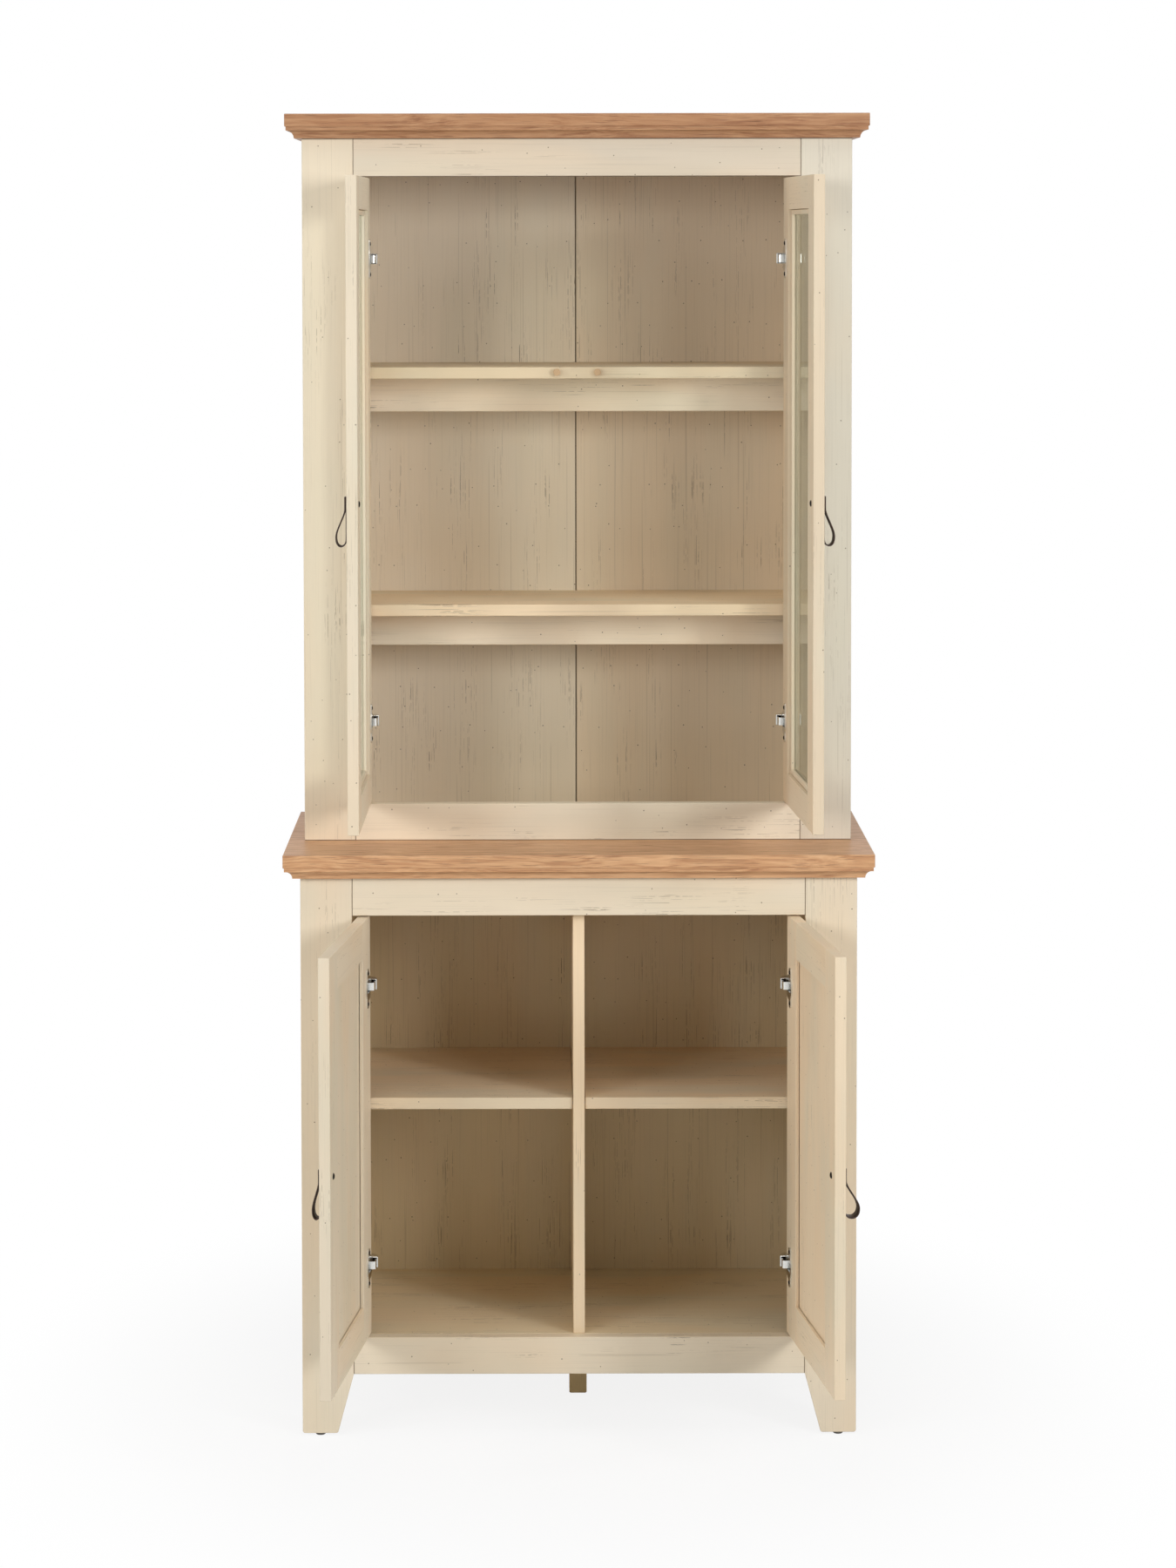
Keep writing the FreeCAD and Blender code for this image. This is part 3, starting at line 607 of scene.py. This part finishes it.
class Tree:
    """A tree of Geometry Nodes built up node by node."""

    def __init__(self, name, inputs):
        self.group = bpy.data.node_groups.new(name, "GeometryNodeTree")
        self.group.interface.new_socket("Geometry", in_out="OUTPUT", socket_type="NodeSocketGeometry")
        for label, kind in inputs.items():
            self.group.interface.new_socket(label, in_out="INPUT", socket_type="NodeSocket" + kind)
        self.given = self.group.nodes.new("NodeGroupInput").outputs

    def node(self, kind, settings=None, values=None, output=0):
        made = self.group.nodes.new(kind)
        for name, setting in (settings or {}).items():
            setattr(made, name, setting)
        for place, value in (values or {}).items():
            for each in value if isinstance(value, list) else [value]:
                if isinstance(each, bpy.types.NodeSocket):
                    self.group.links.new(each, made.inputs[place])
                else:
                    made.inputs[place].default_value = each
        return made.outputs[output] if made.outputs else None

    def sum(self, operation, first, second):
        return self.node("ShaderNodeMath", {"operation": operation}, {0: first, 1: second})

    def point(self, x, y, z):
        return self.node("ShaderNodeCombineXYZ", None, {0: x, 1: y, 2: z})

    def moved(self, geometry, place, scale=(1.0, 1.0, 1.0)):
        return self.node("GeometryNodeTransform", None, {
            "Geometry": geometry, "Translation": place, "Scale": scale})

    def cut(self, geometry, *cutters):
        return self.node("GeometryNodeMeshBoolean", {"operation": "DIFFERENCE"},
                         {"Mesh 1": geometry, "Mesh 2": list(cutters)})


def screw_tree():
    """A domed screw with a cross recess at every point, its head the way the point's arrow goes."""
    sizes = {label: "Float" for label in screw_kinds["wood"]}
    tree = Tree("cross_recessed_screws", {"Geometry": "Geometry", **sizes, "Material": "Material"})
    radius, height = tree.given["Head Radius"], tree.given["Head Height"]
    length, width = tree.given["Recess Length"], tree.given["Recess Width"]
    ball = tree.node("GeometryNodeMeshUVSphere", None, {"Segments": 24, "Rings": 12, "Radius": 1.0})
    ball = tree.moved(ball, (0.0, 0.0, 0.0), tree.point(radius, radius, height))
    wide = tree.sum("MULTIPLY", radius, 4.0)
    below = tree.node("GeometryNodeMeshCube", None, {"Size": tree.point(wide, wide, wide)})
    below = tree.moved(below, tree.point(0.0, 0.0, tree.sum("MULTIPLY", wide, -0.5)))
    depth = tree.sum("MULTIPLY", height, 1.4)
    slots = [tree.moved(tree.node("GeometryNodeMeshCube", None, {"Size": size}), tree.point(0.0, 0.0, height))
             for size in (tree.point(length, width, depth), tree.point(width, length, depth))]
    head = tree.cut(ball, below, *slots)
    shank = tree.node("GeometryNodeMeshCylinder", None, {
        "Vertices": 12, "Radius": tree.given["Shank Radius"], "Depth": tree.given["Shank Length"]})
    half_down = tree.sum("MULTIPLY", tree.given["Shank Length"], -0.5)
    shank = tree.moved(shank, tree.point(0.0, 0.0, half_down))
    screw = tree.node("GeometryNodeJoinGeometry", None, {"Geometry": [head, shank]})
    way = tree.node("GeometryNodeInputNamedAttribute", {"data_type": "FLOAT_VECTOR"}, {"Name": "way"})
    turned = tree.node("FunctionNodeAlignRotationToVector", {"axis": "Z"}, {"Vector": way})
    placed = tree.node("GeometryNodeInstanceOnPoints", None, {
        "Points": tree.given["Geometry"], "Instance": screw, "Rotation": turned})
    driven = tree.node("FunctionNodeRandomValue", None, {2: 0.0, 3: math.pi, "Seed": screw_turn_seed}, 1)
    placed = tree.node("GeometryNodeRotateInstances", None, {
        "Instances": placed, "Rotation": tree.point(0.0, 0.0, driven)})
    solid = tree.node("GeometryNodeRealizeInstances", None, {"Geometry": placed})
    solid = tree.node("GeometryNodeSetMaterial", None, {
        "Geometry": solid, "Material": tree.given["Material"]})
    tree.node("NodeGroupOutput", None, {"Geometry": solid})
    return tree.group


def loose_parts(mesh):
    """The separate solids of a mesh, each as a list of its vertices."""
    left = set(mesh.verts)
    parts = []
    while left:
        part = [left.pop()]
        for vertex in part:
            for edge in vertex.link_edges:
                other = edge.other_vert(vertex)
                if other in left:
                    left.remove(other)
                    part.append(other)
        parts.append(part)
    return parts


def span(part, way):
    """The least and greatest distance of a part's vertices along a direction."""
    reach = [vertex.co.dot(way) for vertex in part]
    return min(reach), max(reach)


def screws_at(seats, kind, material, tree):
    """Screws on these seats, each a place and the way its head faces, as one mesh."""
    points = bpy.data.meshes.new("screw_seats")
    points.from_pydata([place for place, way in seats], [], [])
    arrows = points.attributes.new("way", "FLOAT_VECTOR", "POINT")
    for place, (_, way) in enumerate(seats):
        arrows.data[place].vector = way
    holder = bpy.data.objects.new("screw_seats", points)
    scene.collection.objects.link(holder)
    modifier = holder.modifiers.new("screws", "NODES")
    modifier.node_group = tree
    given = {"Material": material, **screw_kinds[kind]}
    for item in tree.interface.items_tree:
        if item.name in given and item.in_out == "INPUT":
            modifier[item.identifier] = given[item.name]
    evaluated = holder.evaluated_get(bpy.context.evaluated_depsgraph_get())
    made = bpy.data.meshes.new_from_object(evaluated)
    holder.modifiers.remove(modifier)
    bpy.data.objects.remove(holder)
    return made


def arm_mouth(part):
    """The faces inside a hinge arm's hollow nose, where little light reaches."""
    level = sum(span(part, Vector((0.0, 0.0, 1.0)))) / 2
    front = span(part, Vector((0.0, 1.0, 0.0)))[0] + arm_behind_link
    web = min(abs(vertex.co.x) for vertex in part) + arm_sheet
    faces = {face for vertex in part for face in vertex.link_faces}
    floor_of_mouth = front + arm_mouth_depth
    for face in faces:
        x, y, z = face.calc_center_median()
        rise = abs(z - level)
        if front < y < floor_of_mouth + slack and rise < arm_half_height - arm_sheet + slack:
            beyond_link = rise > link_half_height + slack
            if beyond_link or abs(abs(x) - web) < slack or abs(y - floor_of_mouth) < slack:
                yield face


def metalwork(name, kind, way_of, tree):
    """A node's metal with its plain screws changed for cross-recessed ones."""
    mesh = bmesh.new()
    mesh.from_mesh(nodes[name].data)
    bmesh.ops.remove_doubles(mesh, verts=mesh.verts, dist=1e-6)
    up = Vector((0.0, 0.0, 1.0))
    seats = []
    for face in mesh.faces:
        face.smooth = False
    for part in loose_parts(mesh):
        low, high = span(part, up)
        if abs(high - low - 2 * arm_half_height) < slack:
            # Faces inside an arm's hollow nose get the near-black steel: painted shade
            for face in arm_mouth(part):
                face.material_index = 1
        way = way_of(part[0].co)
        across = up.cross(way)
        sides = [span(part, axis) for axis in (way, across, up)]
        if max(high - low for low, high in sides) < longest_screw:
            middle = across * (sum(sides[1]) / 2) + up * (sum(sides[2]) / 2)
            seats.append((middle + way * (sides[0][1] - screw_kinds[kind]["Head Height"]), way))
            bmesh.ops.delete(mesh, geom=part, context="VERTS")
    mesh.from_mesh(screws_at(seats, kind, nickel, tree))
    piece = piece_from(mesh, name + "_fitted", nodes[name]["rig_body"], nickel, (name,), False)
    piece.data.materials.append(shadowed_steel)


def to_middle(place):
    """The way across the cabinet from a place to its middle plane."""
    return Vector((-math.copysign(1.0, place.x), 0.0, 0.0))


screws = screw_tree()
metalwork("hinge_arms", "wood", to_middle, screws)
for body, door in doors.items():
    inward = (door.from_closed.to_3x3() @ Vector((0.0, 1.0, 0.0))).normalized()
    metalwork(body + "_hinges", "wood", lambda place: inward, screws)
    metalwork(body + "_handle_screw", "handle", lambda place: inward, screws)


# Floor, light and camera

pure_white = (1.0, 1.0, 1.0, 1.0)
floor_grey = (0.8, 0.8, 0.8, 1.0)
floor_size = 60.0
daylight = 0.15
floor_shade = 0.14
floor_shade_reach = (0.30, 1.05)
# Each softbox's degrees round from the cabinet's front, and its power
softboxes = {"left_key": (-32, 21.0), "right_key": (32, 25.0), "left_side": (-44, 27.0),
             "right_side": (44, 80.0), "left_wide": (-62, 60.0)}
softbox_distance = 4.6
softbox_height = 2.2
softbox_size = (0.7, 1.4)
softbox_aim = (0.0, 0.0, 1.0)
overhead_place = (0.0, -1.2, 4.6)
overhead_size = (2.4, 2.4)
overhead_power = 39.0
# The camera that agrees with the cabinet's own planes in the photo
camera_place = (-0.058166, -5.920403, 1.866867)
camera_lens = 113.379
camera_sensor = 36.0
camera_shift = (0.03483, -0.31552)
camera_pan = -0.00182
camera_tilt = -0.04741
camera_roll = -0.00171
camera_reach = 200.0


def white_surroundings():
    """White where the camera, glass or metal sees it, and even daylight elsewhere."""
    world = bpy.data.worlds.new("studio")
    scene.world = world
    finish = Finish("studio", world)
    seen = seen_white(finish)
    soft = finish.node("ShaderNodeBackground", None, (pure_white, daylight))
    white = finish.node("ShaderNodeBackground", None, (pure_white, 1.0))
    finish.done(finish.node("ShaderNodeMixShader", None, (seen, soft, white)))


def seen_white(finish):
    """1 for the rays that should find white: the camera's own and those by way of metal or glass."""
    rays = finish.node("ShaderNodeLightPath").socket.node.outputs
    camera, glossy, through = [Value(finish, rays[name]) for name in
                               ("Is Camera Ray", "Is Glossy Ray", "Is Transmission Ray")]
    return (camera + glossy + through) > 0.5


def floor():
    """A plain floor, a little greyer close to the cabinet, where its soft shadow shows."""
    bpy.ops.mesh.primitive_plane_add(size=floor_size, location=(0.0, 0.0, 0.0))
    ground = bpy.context.object
    ground.name = "floor"
    finish = Finish("white_floor")
    x, y, _ = finish.split(finish.place())
    distance = finish.node("ShaderNodeVectorMath", {"operation": "LENGTH"},
                           (finish.join(x, y * 0.8, 0.0),), "Value")
    near = 1.0 - finish.step(distance, *floor_shade_reach)
    plain = finish.node("ShaderNodeBsdfDiffuse", None, {"Color": floor_grey})
    white = finish.node("ShaderNodeEmission", None, (pure_white, 1.0))
    shown = finish.node("ShaderNodeMixShader", None, (near * floor_shade, white, plain))
    whole = finish.node("ShaderNodeMixShader", None, (seen_white(finish), plain, shown))
    ground.data.materials.append(finish.done(whole))


def lamp(name, place, aim, size, power):
    light = bpy.data.lights.new(name, "AREA")
    light.shape = "RECTANGLE"
    light.size, light.size_y = size
    light.energy = power
    holder = bpy.data.objects.new(name, light)
    holder.location = place
    holder.rotation_euler = (Vector(aim) - Vector(place)).to_track_quat("-Z", "Y").to_euler()
    scene.collection.objects.link(holder)


def softbox(name, azimuth, power):
    """A tall soft light at shoulder height, this many degrees round from the cabinet's front."""
    turn = math.radians(azimuth)
    place = (softbox_distance * math.sin(turn), -softbox_distance * math.cos(turn), softbox_height)
    lamp(name, place, softbox_aim, softbox_size, power)


def camera():
    lens = bpy.data.cameras.new("camera")
    lens.sensor_fit = "HORIZONTAL"
    lens.sensor_width = camera_sensor
    lens.lens = camera_lens
    lens.shift_x, lens.shift_y = camera_shift
    lens.clip_end = camera_reach
    holder = bpy.data.objects.new("camera", lens)
    holder.location = camera_place
    look = Matrix.Rotation(camera_pan, 4, "Z") @ Matrix.Rotation(math.pi / 2 + camera_tilt, 4, "X")
    holder.rotation_euler = (look @ Matrix.Rotation(camera_roll, 4, "Z")).to_euler()
    scene.collection.objects.link(holder)
    scene.camera = holder


white_surroundings()
floor()
for name, (azimuth, power) in softboxes.items():
    softbox(name, azimuth, power)
lamp("overhead", overhead_place, (0.0, 0.0, 0.0), overhead_size, overhead_power)
camera()
scene.view_settings.view_transform = "Standard"
